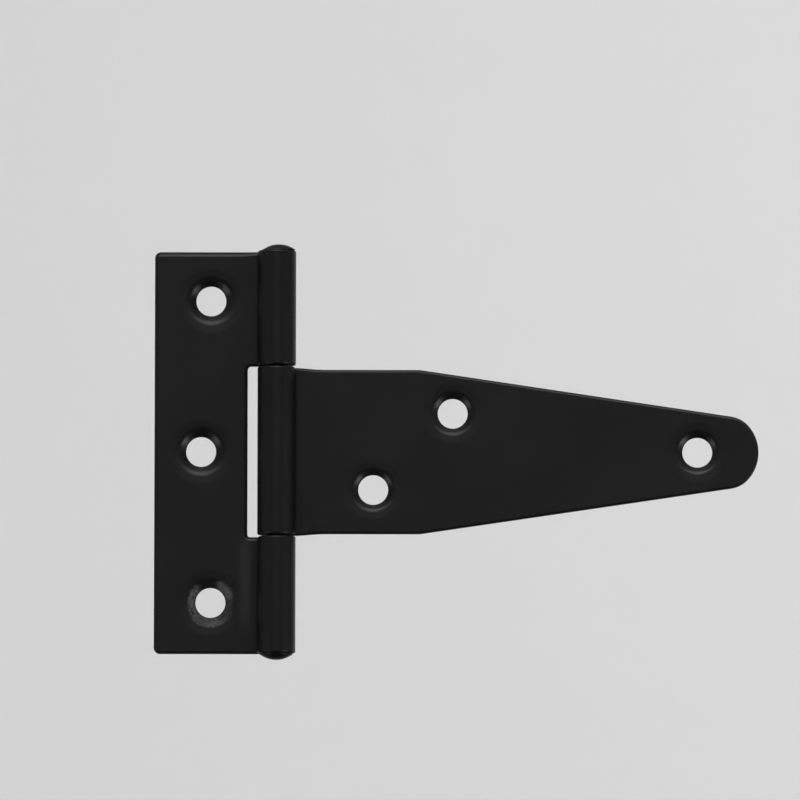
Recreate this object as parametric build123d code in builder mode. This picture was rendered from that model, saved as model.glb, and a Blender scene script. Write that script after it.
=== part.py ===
from build123d import *
from math import asin, copysign, degrees, isclose
import os

os.makedirs("parts", exist_ok=True)

# Frame
# The leaves lie open with their backs in the plane y = 0 and their fronts facing -Y.
# The pin runs along Z. The origin is on the backs, straight behind the pin and level with
# the middle of the strap, and +X points to the nose of the strap.

# Sheet, pin and the eyes rolled round it
sheet = 2.0
edge_rounding = 0.8  # along the front edges of both leaves
edge_chamfer = 0.4  # along their back edges, and on round the outside of the eyes
pin_radius = 2.0
pin_clearance = 0.05  # all round the pin, so that the strap turns freely
seam_gap = 0.3  # from the end of an eye to the front of its own leaf
eye_corner = 1.4  # the corners at the end of each rolled strip, seen from the front

eye_inside = pin_radius + pin_clearance
eye_outside = eye_inside + sheet
eye_centre = (0, -eye_outside)
eye_turn = 270 + degrees(asin((eye_inside - seam_gap) / eye_outside))

# Strap leaf: reaches are from the pin's axis, insets from the nearest edge
strap_reach = 101.6
strap_width = 34.7
knuckle_flare = 0.4  # by which the strap's knuckle is wider than the strap on either side
shoulder_start = 4.5
shoulder_length = 4.5  # in which the knuckle's width eases into the strap's
shoulder_rounding = 34.0
taper_start = 30.2
taper_rounding = 3.0
nose_length = 4.2
nose_width = 14.75
nose_rounding = 6.0
low_hole_reach = 20.35
low_hole_inset = 9.35
high_hole_reach = 37.1
high_hole_inset = 9.2
nose_hole_inset = 12.9
strap_mouth = 4.2

# Jamb leaf: the same reaches and insets
jamb_above = 42.3  # from the middle of the strap up to the top of the leaf
jamb_below = 42.7  # and down to its bottom
jamb_reach = 25.8
jamb_corner = 1.3
knuckle_play = 0.3  # along the pin, at each end of the strap's knuckle
notch_gap = 2.1  # beside the strap's knuckle, so that the strap can fold back
upper_notch_corner = 0.8
lower_notch_corner = 0.6
end_hole_reach = 13.9
top_hole_inset = 10.4
bottom_hole_inset = 10.8
middle_hole_reach = 15.95
jamb_mouth = 4.75

# Screw holes
screw_radius = 3.15
countersink_angle = 100
mouth_rounding = 1.8  # where the countersink runs out into the front of the sheet

# Domed heads of the pin
head_radius = 3.5
head_rim = 0.2
head_dome = 1.2

strap_knuckle = strap_width + 2 * knuckle_flare
shoulder_end = shoulder_start + shoulder_length
nose_start = strap_reach - nose_length
notch_height = strap_knuckle + 2 * knuckle_play
notch_reach = eye_outside + notch_gap
upper_knuckle = jamb_above - notch_height / 2
lower_knuckle = jamb_below - notch_height / 2


def rolled_eye(side, knuckle):
    """An eye round the pin for a leaf on one side of it, +1 or -1 along X."""
    with BuildPart() as eye:
        with BuildSketch():
            with BuildLine():
                outside = CenterArc(eye_centre, eye_outside, 90, side * eye_turn)
                inside = CenterArc(eye_centre, eye_inside, 90, side * eye_turn)
                Line(outside @ 0, inside @ 0)
                Line(outside @ 1, inside @ 1)
            make_face()
        extrude(amount=knuckle / 2, both=True)
        rims = eye.edges().filter_by(GeomType.CIRCLE)
        chamfer(rims.filter_by(lambda rim: isclose(rim.radius, eye_outside)), edge_chamfer)
        with BuildSketch(Plane.XZ.offset(sheet + seam_gap / 2)):
            with Locations((side * (eye_outside - eye_corner / 2), 0)):
                Rectangle(eye_corner, knuckle)
            RectangleRounded(2 * eye_outside, knuckle, eye_corner, mode=Mode.SUBTRACT)
        extrude(amount=2 * eye_outside, mode=Mode.SUBTRACT)
    return eye.part


def corners_at(sketch, reach):
    """The corners of a sketch at one distance along X."""
    return sketch.vertices().filter_by(lambda corner: isclose(corner.X, reach))


def free_edges(face):
    """The edges round the front or the back of a flat leaf, all but those at its eyes."""
    return face.edges().filter_by(lambda edge: abs(edge.center().X) > edge_rounding)


def mouths(leaf, radius):
    """The sharp rims where the countersinks meet the front of a leaf."""
    rings = leaf.edges().filter_by(GeomType.CIRCLE)
    return rings.filter_by(lambda ring: ring.is_closed and isclose(ring.radius, radius))


# Strap leaf with the middle knuckle
strap_eye = rolled_eye(1, strap_knuckle)
with BuildPart() as strap_leaf:
    with BuildSketch(Plane.XZ) as outline:
        with BuildLine():
            Polyline(
                (0, 0),
                (0, strap_knuckle / 2),
                (shoulder_start, strap_knuckle / 2),
                (shoulder_end, strap_width / 2),
                (taper_start, strap_width / 2),
                (nose_start, nose_width / 2),
            )
            mirror(about=Plane.XZ)
            ThreePointArc(
                (nose_start, nose_width / 2), (strap_reach, 0), (nose_start, -nose_width / 2)
            )
        make_face()
        fillet(corners_at(outline, shoulder_start), shoulder_rounding)
        fillet(corners_at(outline, shoulder_end), shoulder_rounding)
        fillet(corners_at(outline, taper_start), taper_rounding)
        fillet(corners_at(outline, nose_start), nose_rounding)
    extrude(amount=sheet)
    fillet(free_edges(strap_leaf.faces().sort_by(Axis.Y)[0]), edge_rounding)
    chamfer(free_edges(strap_leaf.faces().sort_by(Axis.Y)[-1]), edge_chamfer)
    add(strap_eye)
    with Locations(Plane.XZ.offset(sheet)):
        with Locations(
            (low_hole_reach, low_hole_inset - strap_width / 2),
            (high_hole_reach, strap_width / 2 - high_hole_inset),
            (strap_reach - nose_hole_inset, 0),
        ):
            CounterSinkHole(screw_radius, strap_mouth, counter_sink_angle=countersink_angle)
    fillet(mouths(strap_leaf, strap_mouth), mouth_rounding)
strap_leaf.part.label = "strap_leaf"
export_step(strap_leaf.part, "parts/strap_leaf.step")

# Jamb leaf with the upper and the lower knuckle
upper_eye = rolled_eye(-1, upper_knuckle)
lower_eye = rolled_eye(-1, lower_knuckle)
with BuildPart() as jamb_leaf:
    with BuildSketch(Plane.XZ) as outline:
        Rectangle(jamb_reach, jamb_above, align=(Align.MAX, Align.MIN))
        Rectangle(jamb_reach, jamb_below, align=(Align.MAX, Align.MAX))
        fillet(corners_at(outline, -jamb_reach), jamb_corner)
        Rectangle(notch_reach, notch_height, align=(Align.MAX, Align.CENTER), mode=Mode.SUBTRACT)
        notch_corners = corners_at(outline, -notch_reach).sort_by(Axis.Y)
        fillet(notch_corners[0], lower_notch_corner)
        fillet(notch_corners[1], upper_notch_corner)
    extrude(amount=sheet)
    fillet(free_edges(jamb_leaf.faces().sort_by(Axis.Y)[0]), edge_rounding)
    chamfer(free_edges(jamb_leaf.faces().sort_by(Axis.Y)[-1]), edge_chamfer)
    with Locations((0, 0, jamb_above - upper_knuckle / 2)):
        add(upper_eye)
    with Locations((0, 0, lower_knuckle / 2 - jamb_below)):
        add(lower_eye)
    with Locations(Plane.XZ.offset(sheet)):
        with Locations(
            (-end_hole_reach, jamb_above - top_hole_inset),
            (-middle_hole_reach, 0),
            (-end_hole_reach, bottom_hole_inset - jamb_below),
        ):
            CounterSinkHole(screw_radius, jamb_mouth, counter_sink_angle=countersink_angle)
    fillet(mouths(jamb_leaf, jamb_mouth), mouth_rounding)
jamb_leaf.part.label = "jamb_leaf"
export_step(jamb_leaf.part, "parts/jamb_leaf.step")

# Pin, peened over at both ends onto the jamb leaf's knuckles
with BuildPart() as hinge_pin:
    for seat in (jamb_above, -jamb_below):
        end = copysign(1, seat)
        with BuildSketch(Plane.XZ.offset(eye_outside)):
            with BuildLine():
                crown = (0, seat + end * (head_rim + head_dome))
                rim = (head_radius, seat + end * head_rim)
                TangentArc(crown, rim, tangent=(1, 0))
                Polyline(
                    rim, (head_radius, seat), (pin_radius, seat), (pin_radius, 0), (0, 0), crown
                )
            make_face()
        revolve(axis=Axis((0, -eye_outside, 0), (0, 0, 1)))
hinge_pin.part.label = "hinge_pin"
export_step(hinge_pin.part, "parts/hinge_pin.step")
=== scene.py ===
import math

import bpy
import numpy as np
from bpy.props import FloatProperty, FloatVectorProperty, IntProperty, PointerProperty
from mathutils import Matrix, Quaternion, Vector, geometry


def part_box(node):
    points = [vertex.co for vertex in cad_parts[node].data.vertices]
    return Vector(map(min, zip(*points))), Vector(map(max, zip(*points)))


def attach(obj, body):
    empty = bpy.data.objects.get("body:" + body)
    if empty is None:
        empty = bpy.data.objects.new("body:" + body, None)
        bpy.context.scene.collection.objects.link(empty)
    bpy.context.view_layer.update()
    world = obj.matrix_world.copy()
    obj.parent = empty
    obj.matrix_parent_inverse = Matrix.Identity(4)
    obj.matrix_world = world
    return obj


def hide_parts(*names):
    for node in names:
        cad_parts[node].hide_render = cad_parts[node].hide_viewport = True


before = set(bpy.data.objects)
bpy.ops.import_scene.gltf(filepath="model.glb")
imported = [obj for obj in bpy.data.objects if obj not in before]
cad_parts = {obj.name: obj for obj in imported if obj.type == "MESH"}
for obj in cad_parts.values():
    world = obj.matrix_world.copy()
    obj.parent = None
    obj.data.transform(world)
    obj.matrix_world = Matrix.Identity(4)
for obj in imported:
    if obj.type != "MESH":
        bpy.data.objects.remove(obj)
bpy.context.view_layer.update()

bl_info = {
    "name": "Tee hinge",
    "version": (1, 0, 0),
    "blender": (4, 5, 0),
    "location": "View3D > Sidebar > Tee hinge",
    "description": "Forms the leaves and pin of a black coated tee hinge and sets its stage",
    "category": "Object",
}

jamb_low, jamb_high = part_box("jamb_leaf")
strap_low, strap_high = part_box("strap_leaf")
pin_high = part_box("hinge_pin")[1]

# How finely the blanks are meshed, in metres
COARSE = 0.002  # along straight edges
FINE = 0.00025  # along the strips that are rolled
CORNER_STEP = 0.00018  # along a rounded corner
PITCH = 0.0022  # between the points inside a flat
ROOM = 0.0004  # from those points to edges and holes
EDGE_BAND = 0.00004  # first band of a face inside its rounded edge
HOLE_BAND = 0.00005  # and round its holes
TOUCHING = 1e-7  # points closer than this are one
SLACK = 1e-6  # allowed when lengths are compared

COUNTERSINK = 100  # whole angle of the cones, in degrees
SHARP = 38  # edges that turn by more than this stay sharp, in degrees


def length(name, description, default):
    """A property that holds a length."""
    return FloatProperty(
        name=name, description=description, default=default, min=0.0,
        precision=5, subtype="DISTANCE", unit="LENGTH",
    )


# Sizes and colours

class SheetSizes(bpy.types.PropertyGroup):
    sheet: length("Sheet", "Thickness of the steel sheet", 0.002)
    eye_outside: length("Eye radius", "Outside radius of a rolled eye", jamb_high.x)
    seam_gap: length("Seam gap", "From the end of an eye to the front of its leaf", 0.0003)
    eye_rounding: length("Eye rounding", "Rounding along the ends of the eyes", 0.0004)
    easing: length("Easing", "Length over which one rounding turns into the other", 0.0085)
    back_rounding: length("Back rounding", "Rounding along the back edges", 0.0004)
    end_taper: length("End taper", "How far the corners of a rolled strip fall away", 0.0015)
    end_length: length("End length", "Length in which those corners fall away", 0.0034)
    screw_radius: length("Screw hole", "Radius of the screw holes", 0.00315)
    rim_rounding: length("Rim rounding", "Rounding between a countersink and its bore", 0.0005)
    dish: length("Dish", "Depth of the soft hollow pressed round each mouth", 0.00006)
    dish_width: length("Dish width", "Width of that hollow outside the mouth", 0.0016)
    waviness: length("Waviness", "Depth of the waves in the sheet", 0.00003)
    seed: IntProperty(name="Seed", description="Picks the pattern of waves", default=4, min=0)


class JambSizes(bpy.types.PropertyGroup):
    reach: length("Reach", "From the pin to the far edge", -jamb_low.x)
    above: length("Above", "From the middle of the strap up to the top", jamb_high.z)
    below: length("Below", "From the middle of the strap down to the bottom", -jamb_low.z)
    corner: length("Corner", "Radius of the two outer corners", 0.0013)
    notch_reach: length("Notch reach", "From the pin to the side of the notch", 0.00615)
    notch_height: length("Notch height", "Height of the notch", 0.0361)
    upper_corner: length("Upper notch corner", "Radius of the notch's upper corner", 0.0008)
    lower_corner: length("Lower notch corner", "Radius of the notch's lower corner", 0.0006)
    end_hole_reach: length("End hole reach", "From the pin to the end holes", 0.0139)
    end_hole_height: length("End hole height", "From the middle to the end holes", 0.0319)
    middle_hole_reach: length("Middle hole reach", "From the pin to the middle hole", 0.01595)
    mouth: length("Mouth", "Radius of the countersinks at the front", 0.0046)
    mouth_rounding: length("Mouth rounding", "Rounding of the countersinks' mouths", 0.0024)
    upper_rounding: length("Upper rounding", "Rounding along the edges that face up", 0.0011)
    lower_rounding: length("Lower rounding", "Rounding along the edges that face down", 0.0005)


class StrapSizes(bpy.types.PropertyGroup):
    reach: length("Reach", "From the pin to the tip of the nose", strap_high.x)
    knuckle: length("Knuckle", "Height of the strap's knuckle", strap_high.z - strap_low.z)
    width: length("Width", "Width of the strap before its taper", 0.0347)
    shoulder_start: length("Shoulder start", "Where the knuckle begins to ease in", 0.0045)
    shoulder_end: length("Shoulder end", "Where the strap's own width begins", 0.009)
    taper_start: length("Taper start", "From the pin to the start of the taper", 0.0302)
    nose_start: length("Nose start", "From the pin to the round end of the nose", 0.0974)
    nose_width: length("Nose width", "Width at the start of the nose", 0.01475)
    nose_rounding: length("Nose rounding", "Radius between the taper and the round end", 0.006)
    low_hole_reach: length("Low hole reach", "From the pin to the low hole", 0.02035)
    low_hole_drop: length("Low hole drop", "From the middle down to the low hole", 0.008)
    high_hole_reach: length("High hole reach", "From the pin to the high hole", 0.0371)
    high_hole_rise: length("High hole rise", "From the middle up to the high hole", 0.00815)
    nose_hole_reach: length("Nose hole reach", "From the pin to the nose hole", 0.0887)
    mouth: length("Mouth", "Radius of the countersinks at the front", 0.0043)
    mouth_rounding: length("Mouth rounding", "Rounding of the countersinks' mouths", 0.0018)
    upper_rounding: length("Upper rounding", "Rounding along the edges that face up", 0.0006)
    lower_rounding: length("Lower rounding", "Rounding along the edges that face down", 0.00045)


class PinSizes(bpy.types.PropertyGroup):
    radius: length("Radius", "Radius of the pin", 0.002)
    head_radius: length("Head radius", "Radius of the peened heads", pin_high.x)
    rim: length("Rim", "Height of a head's rim", 0.0002)
    rim_rounding: length("Rim rounding", "Rounding between a head's rim and its dome", 0.00018)
    lean: length("Lean", "How far the upper head is spread to one side", 0.0004)
    hammering: length("Hammering", "Depth of the marks left by peening", 0.00004)
    seed: IntProperty(name="Seed", description="Picks the pattern of marks", default=7, min=0)


class CoatingLook(bpy.types.PropertyGroup):
    black: FloatVectorProperty(
        name="Coating", description="Colour of the powder coat",
        subtype="COLOR", size=3, min=0.0, max=1.0, default=(0.005, 0.005, 0.005),
    )
    # This colour also serves for the painted sheen beside the jamb leaf's lower knuckle
    dust_and_sheen: FloatVectorProperty(
        name="Dust", description="Colour of the fine dust on the coat",
        subtype="COLOR", size=3, min=0.0, max=1.0, default=(0.10, 0.10, 0.10),
    )
    scuff: FloatVectorProperty(
        name="Scuff", description="Colour of the coat where it is scuffed",
        subtype="COLOR", size=3, min=0.0, max=1.0, default=(0.085, 0.085, 0.085),
    )
    roughness: FloatProperty(
        name="Roughness", description="Roughness of the clean coat",
        default=0.36, min=0.0, max=1.0, subtype="FACTOR",
    )


class StageSettings(bpy.types.PropertyGroup):
    pale: FloatVectorProperty(
        name="Floor", description="Colour of the floor and the round wall",
        subtype="COLOR", size=3, min=0.0, max=1.0, default=(0.80, 0.80, 0.80),
    )
    front: FloatProperty(
        name="Front light", description="Strength of the soft light above and in front",
        default=2.6, min=0.0,
    )
    above: FloatProperty(
        name="Light above", description="Strength of the light straight above",
        default=0.36, min=0.0,
    )
    behind: FloatProperty(
        name="Light behind", description="Strength of the light that the wall gives back",
        default=0.40, min=0.0,
    )
    horizon: FloatProperty(
        name="Horizon light", description="Strength of the light level with the hinge",
        default=0.09, min=0.0,
    )
    distance: length("Camera distance", "From the camera to the hinge", 2.0)
    field: length("Field", "Width of the view at the hinge", 0.1689)


# Socket arithmetic

class Value:
    """A socket or number of a node tree, with the usual arithmetic."""

    def __init__(self, tree, socket):
        self.tree = tree
        self.socket = socket

    def math(self, operation, *others):
        """Any operation of the Math node."""
        made = add_node(self.tree, "ShaderNodeMath", {"operation": operation})
        for slot, value in zip(made.inputs, (self, *others)):
            join(self.tree, slot, value)
        return Value(self.tree, made.outputs[0])

    def __add__(self, other):
        return self.math("ADD", other)

    __radd__ = __add__

    def __sub__(self, other):
        return self.math("SUBTRACT", other)

    def __rsub__(self, other):
        return (self * -1.0) + other

    def __mul__(self, other):
        return self.math("MULTIPLY", other)

    __rmul__ = __mul__

    def __truediv__(self, other):
        return self.math("DIVIDE", other)

    def __neg__(self):
        return self * -1.0

    def bigger(self, other):
        return self.math("MAXIMUM", other)

    def sine(self):
        return self.math("SINE")

    def cosine(self):
        return self.math("COSINE")

    def root(self):
        return self.math("SQRT")

    def band(self, start, end):
        """0 before start, 1 after end, and a smooth rise between them."""
        made = add_node(
            self.tree, "ShaderNodeMapRange", {"interpolation_type": "SMOOTHSTEP"},
            Value=self, From_Min=start, From_Max=end,
        )
        return Value(self.tree, made.outputs[0])


def join(tree, slot, value):
    """Links a socket to a slot, or sets the slot to a number, colour or vector."""
    if isinstance(value, Value):
        tree.links.new(value.socket, slot)
    elif isinstance(value, bpy.types.NodeSocket):
        tree.links.new(value, slot)
    else:
        slot.default_value = value


def add_node(tree, kind, settings=None, **values):
    """Adds a node: its type, then its settings, then the values or links of its sockets."""
    made = tree.nodes.new(kind)
    for name, value in (settings or {}).items():
        setattr(made, name, value)
    for name, value in values.items():
        slots = [s for s in made.inputs if s.enabled and s.name == name.replace("_", " ")]
        join(tree, slots[0], value)
    return made


def mix(tree, factor, first, second):
    """A colour between two others."""
    made = add_node(
        tree, "ShaderNodeMix", {"data_type": "RGBA"}, Factor=factor, A=first, B=second
    )
    return next(socket for socket in made.outputs if socket.enabled)


def noise(tree, spot, scale, detail, roughness=0.5):
    """Smooth noise about 0.5."""
    made = add_node(
        tree, "ShaderNodeTexNoise", Vector=spot, Scale=scale, Detail=detail, Roughness=roughness
    )
    return Value(tree, made.outputs[0])


def together(tree, x, y, z):
    """A vector made of three values."""
    return add_node(tree, "ShaderNodeCombineXYZ", X=x, Y=y, Z=z).outputs[0]


def apart(tree, vector):
    """The three values of a vector."""
    made = add_node(tree, "ShaderNodeSeparateXYZ", Vector=vector)
    return [Value(tree, socket) for socket in made.outputs]


# Blanks: flat shapes of the leaves, u from the pin to the far edge and z up, before rolling

def outline(corners):
    """Points round a blank. A corner is (u, z, length rounded before it, and after it)."""
    points = [Vector(corner[:2]) for corner in corners]
    arcs = []
    for i, (_, _, before, after) in enumerate(corners):
        here = points[i]
        if before == 0:
            arcs.append([here])
            continue
        back = (points[i - 1] - here).normalized() * before
        on = (points[(i + 1) % len(points)] - here).normalized() * after
        steps = min(max(4, math.ceil((before + after) / CORNER_STEP)), 28)
        arcs.append([
            here + back * (1 - math.sin(turn)) + on * (1 - math.cos(turn))
            for turn in (math.pi / 2 * k / steps for k in range(steps + 1))
        ])
    ring = []
    for i, arc in enumerate(arcs):
        ring += arc
        start, end = arc[-1], arcs[(i + 1) % len(arcs)][0]
        gap = (end - start).length
        if gap < TOUCHING:
            ring.pop()
        step = FINE if max(start.x, end.x) < SLACK else COARSE
        count = max(1, round(gap / step))
        ring += [start.lerp(end, k / count) for k in range(1, count)]
    return ring


def nose_curve(strap):
    """Points from the taper's end to the tip: a rounding that runs into the round end."""
    start = Vector((strap.nose_start, strap.nose_width / 2))
    along = (start - Vector((strap.taper_start, strap.width / 2))).normalized()
    inside = Vector((along.y, -along.x))
    length = strap.reach - strap.nose_start
    end_radius = (length ** 2 + start.y ** 2) / (2 * length)
    end_centre = Vector((strap.reach - end_radius, 0.0))
    gap = end_radius - strap.nose_rounding
    from_end = start + inside * strap.nose_rounding - end_centre
    slide = from_end.dot(along)
    back = -slide + math.sqrt(slide ** 2 - from_end.length_squared + gap ** 2)
    centre = end_centre + from_end + along * back

    def arc(middle, radius, first, last, count):
        turns = [first + (last - first) * k / count for k in range(count + 1)]
        return [middle + Vector((math.cos(a), math.sin(a))) * radius for a in turns]

    leave = math.atan2(-inside.y, -inside.x)
    meet = math.atan2(centre.y - end_centre.y, centre.x - end_centre.x)
    rounding = arc(centre, strap.nose_rounding, leave, meet, 8)
    return rounding + arc(end_centre, end_radius, meet, 0.0, 26)[1:]


def other_way(corners):
    """The same corners, taken the other way round the blank."""
    return [(u, z, after, before) for u, z, before, after in reversed(corners)]


def inward(ring):
    """The unit direction into the blank at each point of its outline."""
    found = []
    for i, here in enumerate(ring):
        before = (here - ring[i - 1]).normalized()
        after = (ring[(i + 1) % len(ring)] - here).normalized()
        along = (before + after).normalized()
        found.append(Vector((-along.y, along.x)))
    return found


class BlankMesh:
    """Collects the points and faces of a blank: x is u, y is minus the height over the back."""

    def __init__(self):
        self.points = []
        self.faces = []

    def loop(self, flat, height):
        """A ring of points at one height over the back, or at a list of heights."""
        start = len(self.points)
        heights = height if isinstance(height, list) else [height] * len(flat)
        self.points += [(p.x, -h, p.y) for p, h in zip(flat, heights)]
        return list(range(start, len(self.points)))

    def strip(self, first, second):
        """Quads between two closed loops, facing the side on the left of first to second."""
        for i in range(len(first)):
            j = (i + 1) % len(first)
            self.faces.append((first[i], first[j], second[j], second[i]))

    def fill(self, rim, holes, height, inner, front):
        """Triangles between the rim and the holes' rings, through the inner points."""
        loops = [rim] + [ring for ring, centre, radius in holes]
        index = [v for one in loops for v in one] + self.loop(inner, height)
        # In millimetres, with corners less than a nanometre apart taken as one
        flat = [Vector((self.points[v][0], self.points[v][2])) * 1000 for v in index]
        edges = []
        start = 0
        for one in loops:
            edges += [(start + k, start + (k + 1) % len(one)) for k in range(len(one))]
            start += len(one)
        coords, _, found, origins, _, _ = geometry.delaunay_2d_cdt(flat, edges, [], 1, 1e-6)
        for face in found:
            middle = sum((coords[v] for v in face), Vector((0, 0))) / len(face) / 1000
            if any((middle - centre).length < radius for ring, centre, radius in holes):
                continue
            corners = [index[origins[v][0]] for v in face]
            self.faces.append(tuple(corners if front else reversed(corners)))


def circle(centre, radius, count=112):
    """Points round a circle, anticlockwise."""
    turns = (2 * math.pi * k / count for k in range(count))
    return [centre + Vector((math.cos(a), math.sin(a))) * radius for a in turns]


def clear_points(points, ring):
    """Those of some points that keep clear of a closed loop."""
    spots = np.array([tuple(p) for p in points])
    start = np.array([tuple(p) for p in ring])
    along = np.roll(start, -1, axis=0) - start
    share = ((spots[:, None] - start) * along).sum(2) / (along ** 2).sum(1)
    nearest = start + np.clip(share, 0, 1)[..., None] * along
    clear = np.linalg.norm(spots[:, None] - nearest, axis=2).min(1) > ROOM
    return [Vector(p) for p in spots[clear]]


def blank_mesh(corners, holes, leaf, sizes, fingers):
    """A closed flat blank with rounded edges and countersunk, dished holes."""
    made = BlankMesh()
    ring = outline(corners)
    ways = inward(ring)
    quarter = [math.radians(a) for a in (0, 15, 30, 45, 60, 75, 90)]

    def edge_loops(upper, lower, eye, at_height):
        """Loops from the edge of the sheet in to its face, rounded less at the eyes."""
        shares = [min(max(p.x / sizes.easing, 0.0), 1.0) for p in ring]
        radii = [lower + (upper - lower) * (0.5 - 0.5 * way.y) for way in ways]
        radii = [
            eye + (radius - eye) * share * share * (3 - 2 * share)
            for radius, share in zip(radii, shares)
        ]
        loops = []
        for turn in quarter:
            flat = [p + way * r * (1 - math.cos(turn)) for p, way, r in zip(ring, ways, radii)]
            drops = [r * (1 - math.sin(turn)) for r in radii]
            loops.append(made.loop(flat, [at_height(drop) for drop in drops]))
        flat = [p + way * (r + EDGE_BAND) for p, way, r in zip(ring, ways, radii)]
        loops.append(made.loop(flat, at_height(0)))
        return loops, flat

    def hole_loops(centre, profile):
        """Loops round one hole, from the face into its bore."""
        return [made.loop(circle(centre, radius), height) for radius, height in profile]

    def grid(rim, mouth):
        """Points inside a face, close together along the strips and further apart beyond."""
        points = []
        for low, high in fingers:
            count = round((high - low) / COARSE)
            zs = [low + (high - low) * (k + 0.5) / count for k in range(count)]
            us = np.arange(-strip_length(sizes), 0, FINE)
            points += [Vector((u, z)) for u in us for z in zs]
        reach = max(corner[0] for corner in corners)
        highest = max(corner[1] for corner in corners)
        lowest = min(corner[1] for corner in corners)
        for u in np.arange(COARSE, reach, PITCH):
            points += [Vector((u, z)) for z in np.arange(lowest + PITCH / 2, highest, PITCH)]
        points = [
            p for p in points
            if all((p - centre).length > mouth + ROOM for centre in holes)
        ]
        return clear_points(points, rim)

    # Front: rounded edge, dish, rounded mouth, cone and the rounded rim of the bore
    half_cone = math.radians(COUNTERSINK / 2)
    slope = 90 - COUNTERSINK / 2
    land = sizes.sheet - (leaf.mouth - sizes.screw_radius) / math.tan(half_cone)
    rounding = leaf.mouth_rounding
    tangent = rounding * math.tan(math.radians(slope / 2))
    top = sizes.sheet
    start = leaf.mouth + tangent
    dish = [
        (start + sizes.dish_width * k,
         top - sizes.dish * (1 - math.sin(math.pi / 2 * k) ** 1.5))
        for k in (1.0, 0.8, 0.6, 0.4, 0.2)
    ]
    arc = [
        (start - rounding * math.sin(b), top - sizes.dish - rounding * (1 - math.cos(b)))
        for b in (math.radians(slope * k / 8) for k in range(9))
    ]
    cone_end = arc[-1]
    rim = sizes.rim_rounding
    rim_top = sizes.screw_radius + rim * (1 - math.sin(math.radians(slope)))
    rim_height = land + (rim_top - sizes.screw_radius) / math.tan(half_cone)
    cone = [
        (rim_top + (cone_end[0] - rim_top) * k, rim_height + (cone_end[1] - rim_height) * k)
        for k in (0.67, 0.33)
    ]
    cone += [
        (sizes.screw_radius + rim * (1 - math.sin(b)),
         rim_height - rim * (math.cos(math.radians(slope)) - math.cos(b)))
        for b in (math.radians(a) for a in (slope, 47, 54, 62, 71, 80, 90))
    ]
    front_profile = [(dish[0][0] + HOLE_BAND, top)] + dish + arc + cone
    front_loops, front_rim = edge_loops(
        leaf.upper_rounding, leaf.lower_rounding, sizes.eye_rounding, lambda drop: top - drop
    )
    front_holes = []
    bores = []
    for centre in holes:
        rings = hole_loops(centre, front_profile)
        front_holes.append((rings[0], centre, front_profile[0][0] - SLACK))
        for outer, inner in zip(rings, rings[1:]):
            made.strip(inner, outer)
        bores.append(rings[-1])
    for outer, inner in zip(front_loops, front_loops[1:]):
        made.strip(outer, inner)
    inner = grid(front_rim, front_profile[0][0])
    made.fill(front_loops[-1], front_holes, top, inner, True)

    # Back: rounded edge and plain holes with a broken rim
    broken = 0.00012
    back_profile = [
        (sizes.screw_radius + broken + HOLE_BAND, 0.0),
        (sizes.screw_radius + broken, 0.0),
        (sizes.screw_radius + broken * 0.3, broken * 0.3),
        (sizes.screw_radius, broken),
    ]
    back = sizes.back_rounding
    back_loops, back_rim = edge_loops(back, back, back, lambda drop: drop)
    back_holes = []
    for centre, bore in zip(holes, bores):
        rings = hole_loops(centre, back_profile)
        back_holes.append((rings[0], centre, back_profile[0][0] - SLACK))
        for outer, inner in zip(rings, rings[1:]):
            made.strip(outer, inner)
        made.strip(rings[-1], bore)
    for outer, inner in zip(back_loops, back_loops[1:]):
        made.strip(inner, outer)
    inner = grid(back_rim, back_profile[0][0])
    made.fill(back_loops[-1], back_holes, 0.0, inner, False)
    made.strip(back_loops[0], front_loops[0])
    return made


# Geometry Nodes trees

def new_tree(name, inputs):
    """A geometry tree, the shape that comes into it and its named inputs as values."""
    tree = bpy.data.node_groups.new(name, "GeometryNodeTree")
    tree.interface.new_socket("Geometry", in_out="INPUT", socket_type="NodeSocketGeometry")
    tree.interface.new_socket("Geometry", in_out="OUTPUT", socket_type="NodeSocketGeometry")
    for label, kind in inputs:
        tree.interface.new_socket(label, in_out="INPUT", socket_type=kind)
    given = add_node(tree, "NodeGroupInput")
    values = {label: Value(tree, given.outputs[label]) for label, kind in inputs}
    return tree, given.outputs["Geometry"], values


def end_tree(tree, shape, material):
    """The last nodes of a tree: plain geometry in its coating."""
    realized = add_node(tree, "GeometryNodeRealizeInstances", Geometry=shape)
    dressed = add_node(
        tree, "GeometryNodeSetMaterial", Geometry=realized.outputs[0], Material=material
    )
    add_node(tree, "NodeGroupOutput", Geometry=dressed.outputs[0])


def place(tree):
    """The position of each point as three values."""
    return apart(tree, add_node(tree, "GeometryNodeInputPosition").outputs[0])


def moved(tree, shape, x, y, z):
    """The shape with its points at new places."""
    spot = together(tree, x, y, z)
    made = add_node(tree, "GeometryNodeSetPosition", Geometry=shape, Position=spot)
    return made.outputs[0]


def rolling_tree(material):
    """Waves a flat blank a little and rolls what lies past the pin into eyes."""
    tree, shape, given = new_tree("Roll the eyes", [
        ("Side", "NodeSocketFloat"),
        ("Eye Centre", "NodeSocketFloat"),
        ("Mean Radius", "NodeSocketFloat"),
        ("Waviness", "NodeSocketFloat"),
        ("Seed", "NodeSocketFloat"),
    ])
    u, y, z = place(tree)
    waves = noise(tree, together(tree, u, given["Seed"], z), 75.0, 1.0, 0.4)
    y = y - waves * given["Waviness"] * u.band(0.0, 0.012)
    angle = (-u).bigger(0.0) / given["Mean Radius"]
    radius = given["Eye Centre"] + y
    x = given["Side"] * (u.bigger(0.0) - radius * angle.sine())
    y = radius * angle.cosine() - given["Eye Centre"]
    end_tree(tree, moved(tree, shape, x, y, z), material)
    return tree


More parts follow.
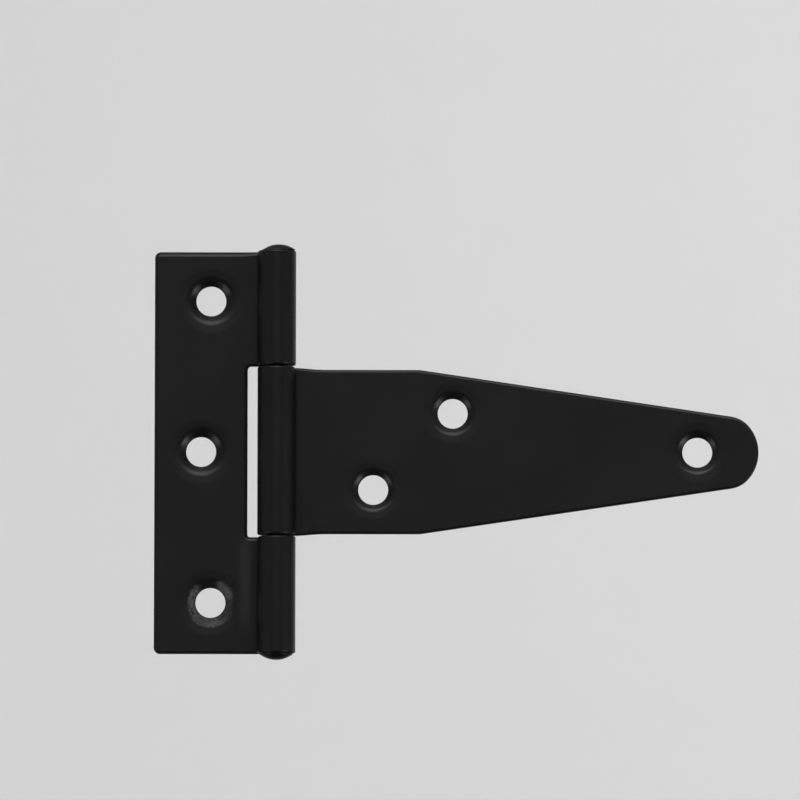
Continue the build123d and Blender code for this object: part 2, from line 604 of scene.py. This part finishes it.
def turning_tree(material):
    """Turns a sheet of (angle, radius, height) round the pin's axis and hammers the heads."""
    tree, shape, given = new_tree("Turn the pin", [
        ("Eye Centre", "NodeSocketFloat"),
        ("Above", "NodeSocketFloat"),
        ("Below", "NodeSocketFloat"),
        ("Lean", "NodeSocketFloat"),
        ("Hammering", "NodeSocketFloat"),
        ("Seed", "NodeSocketFloat"),
    ])
    angle, radius, z = place(tree)
    x = radius * angle.sine()
    y = radius * angle.cosine()
    blows = noise(tree, together(tree, x, y + given["Seed"], z), 900.0, 2.0)
    over = (z - given["Above"]).bigger(-z - given["Below"])
    dent = blows * given["Hammering"] * over.band(0.0004, 0.0008)
    x = x + given["Lean"] * (z - given["Above"]).band(0.0, 0.0003)
    z = z - dent * z.math("SIGN")
    turned = moved(tree, shape, x, y - given["Eye Centre"], z)
    closed = add_node(
        tree, "GeometryNodeMergeByDistance", Geometry=turned, Distance=TOUCHING
    )
    end_tree(tree, closed.outputs[0], material)
    return tree


def formed(name, points, faces, tree, values):
    """The mesh that a tree makes of some points and faces, as a plain object."""
    flat = bpy.data.meshes.new(name + "_flat")
    flat.from_pydata(points, [], faces)
    flat.update()
    worker = bpy.data.objects.new(name + "_worker", flat)
    bpy.context.scene.collection.objects.link(worker)
    modifier = worker.modifiers.new("Form", "NODES")
    modifier.node_group = tree
    for item in tree.interface.items_tree:
        if item.in_out == "INPUT" and item.name in values:
            modifier[item.identifier] = values[item.name]
    bpy.context.view_layer.update()
    graph = bpy.context.evaluated_depsgraph_get()
    mesh = bpy.data.meshes.new_from_object(worker.evaluated_get(graph))
    bpy.data.objects.remove(worker)
    mesh.name = name
    mesh.shade_smooth()
    mesh.set_sharp_from_angle(angle=math.radians(SHARP))
    piece = bpy.data.objects.new(name, mesh)
    bpy.context.scene.collection.objects.link(piece)
    return piece


# Coatings

def scuffing(tree, spot, centre):
    """Round one mouth: where the coat is scuffed, how pale it is there, and its relief."""
    x, y, z = apart(tree, spot)
    across = x - centre[0]
    up = z - centre[1]
    away = (across * across + up * up).root()
    blur = (noise(tree, spot, 1100.0, 3.0, 0.6) - 0.5) * 0.9
    ragged = away + blur * 0.0014
    rising = up / away + blur * 0.3
    beside = across / away + blur * 0.3

    # Arcs of the ring: first which part of the circle, then how far out from the hole
    left = (-beside).band(-0.2, 0.5) * (1.0 - rising.band(0.58, 0.90))
    left = left * (1.0 - ragged.band(0.0042, 0.0051))
    below = (-rising).band(0.45, 0.85) * (1.0 - beside.band(0.30, 0.65))
    below = below * (1.0 - ragged.band(0.0046, 0.0056))
    corner = (rising + beside).band(1.0, 1.35) * (1.0 - rising.band(0.84, 1.0))
    corner = 0.85 * corner * (1.0 - ragged.band(0.0044, 0.0055))
    faint = 0.09 + 0.23 * (1.0 - rising.band(0.3, 0.8))
    faint = faint * (1.0 - ragged.band(0.0042, 0.0052))
    arcs = left.bigger(below).bigger(corner).bigger(faint)

    # Only outside the bore and on the front of the sheet
    arcs = arcs * away.band(0.0031, 0.0035) * (-y).band(0.0003, 0.0007)

    patches = noise(tree, spot, 650.0, 3.0, 0.6).band(0.30, 0.60)
    flecks = noise(tree, spot, 2600.0, 3.0, 0.65).band(0.36, 0.62)
    pits = noise(tree, spot, 2100.0, 2.0).band(0.56, 0.61) * (1.0 - beside.band(-0.4, 0.3))
    scuff = arcs * (0.25 + 0.45 * patches + 0.55 * flecks) * (1.0 - 0.95 * pits)
    crumbs = noise(tree, spot, 1500.0, 4.0, 0.7)
    relief = arcs * (crumbs * 1.2 + patches * 0.8 - pits * 1.5)
    return arcs, scuff, relief


def painted_sheen_band(tree, spot):
    """A painted sheen: a lighter upright band on the jamb leaf, beside its lower knuckle, where
    the sheet bends into the eye and catches the light.
    """
    x, _, z = apart(tree, spot)
    width = x.band(-0.0086, -0.0068) * (1.0 - x.band(-0.0062, -0.0048))
    return width * (-z).band(0.0175, 0.0205) * (1.0 - (-z).band(0.0330, 0.0400))


def coating(name, look, scuffed):
    """Satin black powder coat: orange peel and dust; if a mouth is given, scuffs round it and a
    painted sheen on the jamb leaf beside its lower knuckle.
    """
    material = bpy.data.materials.new(name)
    material.use_nodes = True
    tree = material.node_tree
    shader = tree.nodes["Principled BSDF"]
    spot = add_node(tree, "ShaderNodeTexCoord").outputs["Object"]
    peel = noise(tree, spot, 1400.0, 2.0)
    grain = noise(tree, spot, 5200.0, 2.0)
    clouds = noise(tree, spot, 70.0, 3.0)
    specks = noise(tree, spot, 2600.0, 3.0, 0.65).band(0.66, 0.74)
    dusty = clouds.band(0.45, 0.75) * 0.02 + specks * 0.05
    colour = mix(tree, dusty, (*look.black, 1.0), (*look.dust_and_sheen, 1.0))
    rough = look.roughness + (clouds - 0.5) * 0.04 + (peel - 0.5) * 0.06
    height = peel * 0.6 + grain * 0.25
    if scuffed is not None:
        arcs, scuff, relief = scuffing(tree, spot, scuffed)
        # Painted sheen: a lighter upright band, mixed into the colour, for light caught where
        # the sheet bends into the lower eye
        painted_sheen = painted_sheen_band(tree, spot) * (0.10 + 0.10 * clouds)
        colour = mix(tree, scuff, colour, (*look.scuff, 1.0))
        colour = mix(tree, painted_sheen, colour, (*look.dust_and_sheen, 1.0))
        rough = rough + arcs * 0.22
        height = height + relief
    bump = add_node(
        tree, "ShaderNodeBump", Strength=0.35, Distance=0.00004, Height=height
    )
    join(tree, shader.inputs["Base Color"], colour)
    join(tree, shader.inputs["Roughness"], rough)
    join(tree, shader.inputs["Normal"], bump.outputs[0])
    shader.inputs["Specular IOR Level"].default_value = 0.45
    return material


def pale_material(settings):
    """Matt pale paint with a very faint mottle, for the floor and its round wall."""
    material = bpy.data.materials.new("stage_paint")
    material.use_nodes = True
    tree = material.node_tree
    shader = tree.nodes["Principled BSDF"]
    spot = add_node(tree, "ShaderNodeTexCoord").outputs["Object"]
    darker = tuple(c * 0.97 for c in settings.pale)
    colour = mix(tree, noise(tree, spot, 3.0, 2.0), (*settings.pale, 1.0), (*darker, 1.0))
    join(tree, shader.inputs["Base Color"], colour)
    shader.inputs["Roughness"].default_value = 0.9
    return material


def studio_air(settings):
    """The soft light all round: a round bright field above and in front, and dark below."""
    world = bpy.data.worlds.new("studio_air")
    world.use_nodes = True
    tree = world.node_tree
    x, y, z = apart(tree, add_node(tree, "ShaderNodeTexCoord").outputs["Generated"])
    sides = 1.0 + 1.2 * x.math("ABSOLUTE").band(0.2, 0.95)
    level = 1.0 - z.math("ABSOLUTE").band(0.2, 0.7)
    front = (z * 0.64 - y * 0.77).band(0.885, 0.99)  # round a spot 40 degrees up in front
    dark = 0.008
    glow = dark + settings.horizon * z.band(-0.10, 0.06) * sides
    glow = glow + settings.above * z.band(0.45, 0.95) * (-y).band(-0.80, 0.05)
    glow = glow + settings.behind * y.band(0.30, 0.90) * level
    glow = glow + settings.front * front
    join(tree, tree.nodes["Background"].inputs["Strength"], glow)
    tree.nodes["Background"].inputs["Color"].default_value = (1.0, 1.0, 1.0, 1.0)
    return world


# Leaves

def mean_radius(sizes):
    """Radius of the middle of the sheet in a rolled eye."""
    return sizes.eye_outside - sizes.sheet / 2


def strip_length(sizes):
    """Length of the strip that is rolled into an eye."""
    inside = sizes.eye_outside - sizes.sheet
    turn = math.radians(270) + math.asin((inside - sizes.seam_gap) / sizes.eye_outside)
    return mean_radius(sizes) * turn


def form_leaf(name, side, corners, holes, leaf, fingers, sizes, scuffed, node):
    """One leaf on one side of the pin, +1 or -1 along X: its blank, rolled and coated."""
    blank = blank_mesh(corners, holes, leaf, sizes, fingers)
    faces = blank.faces if side > 0 else [tuple(reversed(face)) for face in blank.faces]
    material = coating(name + "_coat", bpy.context.scene.hinge_coating, scuffed)
    values = {
        "Side": float(side),
        "Eye Centre": sizes.eye_outside,
        "Mean Radius": mean_radius(sizes),
        "Waviness": sizes.waviness,
        "Seed": sizes.seed * 0.37 + side,
    }
    piece = formed(name, blank.points, faces, rolling_tree(material), values)
    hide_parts(node)
    return piece


# Operators

class HINGE_OT_jamb_leaf(bpy.types.Operator):
    """Form the jamb leaf: blank it with its notch, countersink it and roll its two eyes"""

    bl_idname = "hinge.jamb_leaf"
    bl_label = "Form jamb leaf"

    def execute(self, context):
        sizes = context.scene.hinge_sheet
        jamb = context.scene.hinge_jamb
        strip = strip_length(sizes)
        end, fall = sizes.end_length, sizes.end_taper
        top, low = jamb.above, -jamb.below
        notch, side = jamb.notch_height / 2, jamb.notch_reach
        clockwise = [
            (0.0, top, 0, 0),
            (jamb.reach, top, jamb.corner, jamb.corner),
            (jamb.reach, low, jamb.corner, jamb.corner),
            (0.0, low, 0, 0),
            (-strip, low, end * 0.25, end * 0.25),
            (-strip, -notch, fall, end),
            (0.0, -notch, 0, 0),
            (side, -notch, jamb.lower_corner, jamb.lower_corner),
            (side, notch, jamb.upper_corner, jamb.upper_corner),
            (0.0, notch, 0, 0),
            (-strip, notch, end, fall),
            (-strip, top, end * 0.25, end * 0.25),
        ]
        holes = [
            Vector((jamb.end_hole_reach, jamb.end_hole_height)),
            Vector((jamb.middle_hole_reach, 0.0)),
            Vector((jamb.end_hole_reach, -jamb.end_hole_height)),
        ]
        piece = form_leaf(
            "jamb_leaf_formed", -1, other_way(clockwise), holes, jamb,
            [(low, -notch), (notch, top)], sizes,
            (-jamb.end_hole_reach, -jamb.end_hole_height), "jamb_leaf",
        )
        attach(piece, "jamb")
        return {"FINISHED"}


class HINGE_OT_strap_leaf(bpy.types.Operator):
    """Form the strap leaf: blank it with its taper and nose, countersink it and roll its eye"""

    bl_idname = "hinge.strap_leaf"
    bl_label = "Form strap leaf"

    def execute(self, context):
        sizes = context.scene.hinge_sheet
        strap = context.scene.hinge_strap
        strip = strip_length(sizes)
        end, fall = sizes.end_length, sizes.end_taper
        wide, half = strap.knuckle / 2, strap.width / 2
        # Lengths rounded on either side of the shoulder's corners and of the taper's
        ease, bend = 0.00155, 0.00022
        upper = [
            (-strip, wide, fall, end),
            (0.0, wide, 0, 0),
            (strap.shoulder_start, wide, ease, ease),
            (strap.shoulder_end, half, ease, ease),
            (strap.taper_start, half, bend, bend),
        ]
        upper += [(p.x, p.y, 0, 0) for p in nose_curve(strap)]
        lower = [(u, -z, before, after) for u, z, before, after in other_way(upper[:-1])]
        holes = [
            Vector((strap.low_hole_reach, -strap.low_hole_drop)),
            Vector((strap.high_hole_reach, strap.high_hole_rise)),
            Vector((strap.nose_hole_reach, 0.0)),
        ]
        piece = form_leaf(
            "strap_leaf_formed", 1, other_way(upper + lower), holes, strap,
            [(-wide, wide)], sizes, None, "strap_leaf",
        )
        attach(piece, "strap")
        return {"FINISHED"}


class HINGE_OT_pin(bpy.types.Operator):
    """Turn the pin and peen its two heads over the jamb leaf's knuckles"""

    bl_idname = "hinge.pin"
    bl_label = "Form pin"

    def execute(self, context):
        sizes = context.scene.hinge_sheet
        pin = context.scene.hinge_pin
        # Head, as (radius, height over the knuckle): dome, rounding, rim and foot
        dome = pin_high.z - jamb_high.z - pin.rim
        ball = (pin.head_radius ** 2 + dome ** 2) / (2 * dome)
        edge = math.asin(pin.head_radius / ball)
        turns = [edge * k / 24 for k in range(25)]
        head = [(ball * math.sin(t), pin.rim + dome - ball * (1 - math.cos(t))) for t in turns]
        head = [spot for spot in head if spot[0] < pin.head_radius - pin.rim_rounding]
        last = head[-1]
        for k in range(1, 9):
            turn = math.pi / 2 * k / 8
            head.append((
                last[0] + (pin.head_radius - last[0]) * math.sin(turn),
                last[1] - (last[1] - pin.rim * 0.5) * (1 - math.cos(turn)),
            ))
        broken = 0.00006
        head += [
            (pin.head_radius, broken),
            (pin.head_radius - broken, 0.0),
            (pin.radius, 0.0),
        ]
        profile = [(r, jamb_high.z + z) for r, z in head]
        profile += [(pin.radius, jamb_high.z * share) for share in (0.6, 0.2, -0.2, -0.6)]
        profile += [(r, jamb_low.z - z) for r, z in reversed(head)]
        count = 96
        points = [
            (2 * math.pi * k / count, r, z) for k in range(count + 1) for r, z in profile
        ]
        rows = len(profile)
        faces = [
            (k * rows + j, (k + 1) * rows + j, (k + 1) * rows + j + 1, k * rows + j + 1)
            for k in range(count) for j in range(rows - 1)
        ]
        material = coating("pin_coat", context.scene.hinge_coating, None)
        values = {
            "Eye Centre": sizes.eye_outside,
            "Above": jamb_high.z,
            "Below": -jamb_low.z,
            "Lean": pin.lean,
            "Hammering": pin.hammering,
            "Seed": pin.seed * 0.1,
        }
        piece = formed("hinge_pin_formed", points, faces, turning_tree(material), values)
        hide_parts("hinge_pin")
        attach(piece, "jamb")
        return {"FINISHED"}


class HINGE_OT_stage(bpy.types.Operator):
    """Set the pale floor with its round wall, the soft lights and the camera"""

    bl_idname = "hinge.stage"
    bl_label = "Set stage"

    def execute(self, context):
        scene = context.scene
        settings = scene.hinge_stage
        # Height of the floor, and the radius, the bend at the foot and the top of the wall
        floor, wall, bend, high = -0.9, 3.2, 0.9, 3.6
        section = [(0.4, floor)]
        section += [
            (wall - bend + bend * math.sin(a), floor + bend * (1 - math.cos(a)))
            for a in (math.pi / 2 * k / 24 for k in range(25))
        ]
        section.append((wall, high))
        count, rows = 96, len(section)
        turns = [2 * math.pi * k / count for k in range(count)]
        points = [(r * math.cos(a), r * math.sin(a), z) for a in turns for r, z in section]
        points.append((0.0, 0.0, floor))
        faces = []
        for k in range(count):
            here, on = k * rows, (k + 1) % count * rows
            faces.append((len(points) - 1, here, on))
            faces += [(here + j, here + j + 1, on + j + 1, on + j) for j in range(rows - 1)]
        mesh = bpy.data.meshes.new("studio_sweep")
        mesh.from_pydata(points, [], faces)
        mesh.shade_smooth()
        mesh.materials.append(pale_material(settings))
        sweep = bpy.data.objects.new("studio_sweep", mesh)
        scene.collection.objects.link(sweep)
        sweep.visible_glossy = False
        sweep.visible_shadow = False

        # Name, place, width and height, watts, and what it is aimed at
        middle = Vector((0.02598, 0.0, 0.01112))
        lamps = (
            ("wall_light", (1.3, 1.7, 1.1), (0.9, 0.6), 13.0, Vector((0.9, wall, 0.0))),
            ("low_left_light", (-0.99, -0.58, -0.57), (0.5, 0.5), 2.1, middle),
            ("low_right_light", (1.04, -0.58, -0.57), (0.5, 0.5), 3.4, middle),
        )
        for name, spot, size, power, aim in lamps:
            data = bpy.data.lights.new(name, "AREA")
            data.shape = "RECTANGLE"
            data.size, data.size_y = size
            data.energy = power
            lamp = bpy.data.objects.new(name, data)
            lamp.location = spot
            lamp.rotation_mode = "QUATERNION"
            lamp.rotation_quaternion = (aim - Vector(spot)).to_track_quat("-Z", "Y")
            lamp.visible_camera = False
            scene.collection.objects.link(lamp)
        scene.world = studio_air(settings)
        scene.view_settings.view_transform = "Standard"

        # The camera stands a little below the hinge and is rolled by a tenth of a degree
        below = math.radians(4.8)
        roll_right = 0.0016
        back = Vector((0, math.cos(below), math.sin(below)))
        data = bpy.data.cameras.new("front_camera")
        data.sensor_width = 36.0
        data.lens = data.sensor_width * settings.distance / settings.field
        data.clip_start, data.clip_end = 0.01, 20.0
        camera = bpy.data.objects.new("front_camera", data)
        camera.location = middle - settings.distance * back
        camera.rotation_mode = "QUATERNION"
        camera.rotation_quaternion = (
            (middle - camera.location).to_track_quat("-Z", "Y")
            @ Quaternion((0, 0, 1), roll_right)
        )
        scene.collection.objects.link(camera)
        scene.camera = camera
        return {"FINISHED"}


class HINGE_PT_panel(bpy.types.Panel):
    """Sizes, coating and pieces of the tee hinge"""

    bl_idname = "HINGE_PT_panel"
    bl_label = "Tee hinge"
    bl_space_type = "VIEW_3D"
    bl_region_type = "UI"
    bl_category = "Tee hinge"

    def draw(self, context):
        layout = self.layout
        for operator in OPERATORS:
            layout.operator(operator.bl_idname)
        for attribute, group in GROUPS.items():
            box = layout.box()
            box.label(text=attribute.replace("hinge_", "").capitalize())
            values = getattr(context.scene, attribute)
            for name in group.__annotations__:
                box.prop(values, name)


GROUPS = {
    "hinge_sheet": SheetSizes,
    "hinge_jamb": JambSizes,
    "hinge_strap": StrapSizes,
    "hinge_pin": PinSizes,
    "hinge_coating": CoatingLook,
    "hinge_stage": StageSettings,
}
OPERATORS = (HINGE_OT_jamb_leaf, HINGE_OT_strap_leaf, HINGE_OT_pin, HINGE_OT_stage)


def register():
    for group in GROUPS.values():
        bpy.utils.register_class(group)
    for operator in OPERATORS:
        bpy.utils.register_class(operator)
    bpy.utils.register_class(HINGE_PT_panel)
    for attribute, group in GROUPS.items():
        setattr(bpy.types.Scene, attribute, PointerProperty(type=group))


def unregister():
    for attribute in GROUPS:
        delattr(bpy.types.Scene, attribute)
    bpy.utils.unregister_class(HINGE_PT_panel)
    for operator in reversed(OPERATORS):
        bpy.utils.unregister_class(operator)
    for group in reversed(list(GROUPS.values())):
        bpy.utils.unregister_class(group)


def main():
    register()
    bpy.ops.hinge.jamb_leaf()
    bpy.ops.hinge.strap_leaf()
    bpy.ops.hinge.pin()
    bpy.ops.hinge.stage()
    bpy.context.view_layer.update()


if __name__ == "__main__":
    main()
